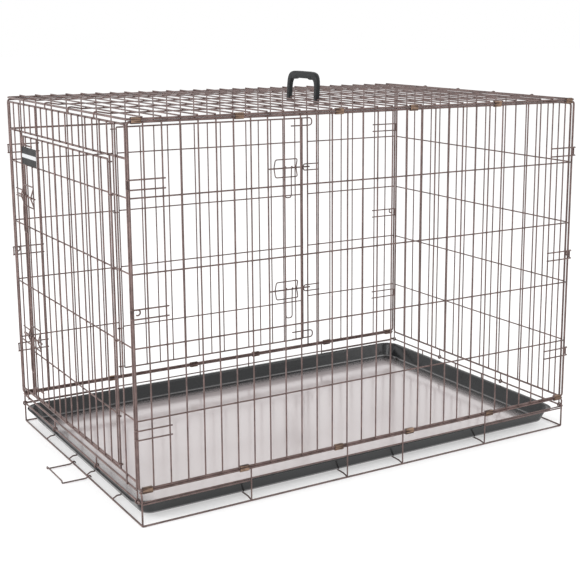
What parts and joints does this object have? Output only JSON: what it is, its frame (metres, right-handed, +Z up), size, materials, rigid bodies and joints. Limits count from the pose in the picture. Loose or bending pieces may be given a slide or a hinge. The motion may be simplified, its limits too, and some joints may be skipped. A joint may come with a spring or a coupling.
{
  "type": "wire dog crate",
  "caption": "Folding wire dog crate with a door in one end and one in a long side, slide bolts, a hinged top with a carry handle, and a sliding plastic pan.",
  "frame": {"origin": "on the floor, in the middle of the object's box", "axes": "+X along the crate from the end with the door and the pan's stop to the plain end, +Y from the plain long side to the side with the door, +Z up"},
  "size_m": [1.2494, 0.797, 0.9171],
  "materials": {
    "bronze_wire": "semi-gloss bronze brown hammered coating",
    "clip_bronze": "satin bronze, folded sheet",
    "black_plastic": "moulded satin black",
    "pan_plastic": "smooth glossy black",
    "plate_plastic": "blank glossy black plate"
  },
  "bodies": {
    "shell": {"base_frame": "bronze_wire", "near_side_panel": "bronze_wire", "far_side_panel": "bronze_wire", "near_base_clip_1": "clip_bronze", "near_base_clip_2": "clip_bronze", "near_base_clip_3": "clip_bronze", "near_base_clip_4": "clip_bronze", "near_base_clip_5": "clip_bronze", "near_base_clip_6": "clip_bronze", "top_hinge_clip_1": "clip_bronze", "top_hinge_clip_2": "clip_bronze", "top_hinge_clip_3": "clip_bronze", "top_hinge_clip_4": "clip_bronze", "top_hinge_clip_5": "clip_bronze", "top_hinge_clip_6": "clip_bronze", "far_base_clip_1": "clip_bronze", "far_base_clip_2": "clip_bronze", "far_base_clip_3": "clip_bronze", "far_base_clip_4": "clip_bronze", "far_base_clip_5": "clip_bronze", "far_base_clip_6": "clip_bronze"},
    "left_end": {"left_end_panel": "bronze_wire"},
    "end_door_body": {"end_door": "bronze_wire", "name_plate": "plate_plastic"},
    "end_bolt_upper": {"end_door_bolt_upper": "bronze_wire"},
    "end_bolt_lower": {"end_door_bolt_lower": "bronze_wire"},
    "right_end": {"right_end_panel": "bronze_wire"},
    "side_door_body": {"side_door": "bronze_wire"},
    "side_bolt_upper": {"side_door_bolt_upper": "bronze_wire"},
    "side_bolt_lower": {"side_door_bolt_lower": "bronze_wire"},
    "lid": {"top_panel": "bronze_wire"},
    "handle": {"carry_handle": "black_plastic"},
    "pan": {"tray": "pan_plastic"},
    "stop": {"tray_stop": "bronze_wire"}
  },
  "joints": [
    {"name": "left_end_fold", "type": "hinge", "parent": "shell", "child": "left_end", "pos_m": [-0.563, 0, 0.055], "axis": [0, 1, 0], "range_deg": [0, 90]},
    {"name": "right_end_fold", "type": "hinge", "parent": "shell", "child": "right_end", "pos_m": [0.613, 0, 0.055], "axis": [0, -1, 0], "range_deg": [0, 87.5]},
    {"name": "lid_lift", "type": "hinge", "parent": "shell", "child": "lid", "pos_m": [0.025, -0.38998, 0.8483], "axis": [1, 0, 0], "range_deg": [0, 95]},
    {"name": "side_door_swing", "type": "hinge", "parent": "shell", "child": "side_door_body", "pos_m": [-0.29292, 0.38202, 0.43], "axis": [0, 0, -1], "range_deg": [-135, 0]},
    {"name": "end_door_swing", "type": "hinge", "parent": "left_end", "child": "end_door_body", "pos_m": [-0.563, -0.29308, 0.43], "axis": [0, 0, -1], "range_deg": [-135, 0]},
    {"name": "side_bolt_upper_slide", "type": "slide", "parent": "side_door_body", "child": "side_bolt_upper", "axis": [1, 0, 0], "range_m": [-0.032, 0]},
    {"name": "side_bolt_lower_slide", "type": "slide", "parent": "side_door_body", "child": "side_bolt_lower", "axis": [1, 0, 0], "range_m": [-0.032, 0]},
    {"name": "end_bolt_upper_slide", "type": "slide", "parent": "end_door_body", "child": "end_bolt_upper", "axis": [0, 1, 0], "range_m": [-0.032, 0]},
    {"name": "end_bolt_lower_slide", "type": "slide", "parent": "end_door_body", "child": "end_bolt_lower", "axis": [0, 1, 0], "range_m": [-0.032, 0]},
    {"name": "pan_slide", "type": "slide", "parent": "shell", "child": "pan", "axis": [1, 0, 0], "range_m": [-1.1, 0]},
    {"name": "stop_swing", "type": "hinge", "parent": "shell", "child": "stop", "pos_m": [-0.559, 0, 0.0025], "axis": [0, 1, 0], "range_deg": [0, 74]},
    {"name": "handle_swing", "type": "hinge", "parent": "lid", "child": "handle", "pos_m": [0.025, 0, 0.8521], "axis": [0, 1, 0], "range_deg": [-75, 75]}
  ]
}
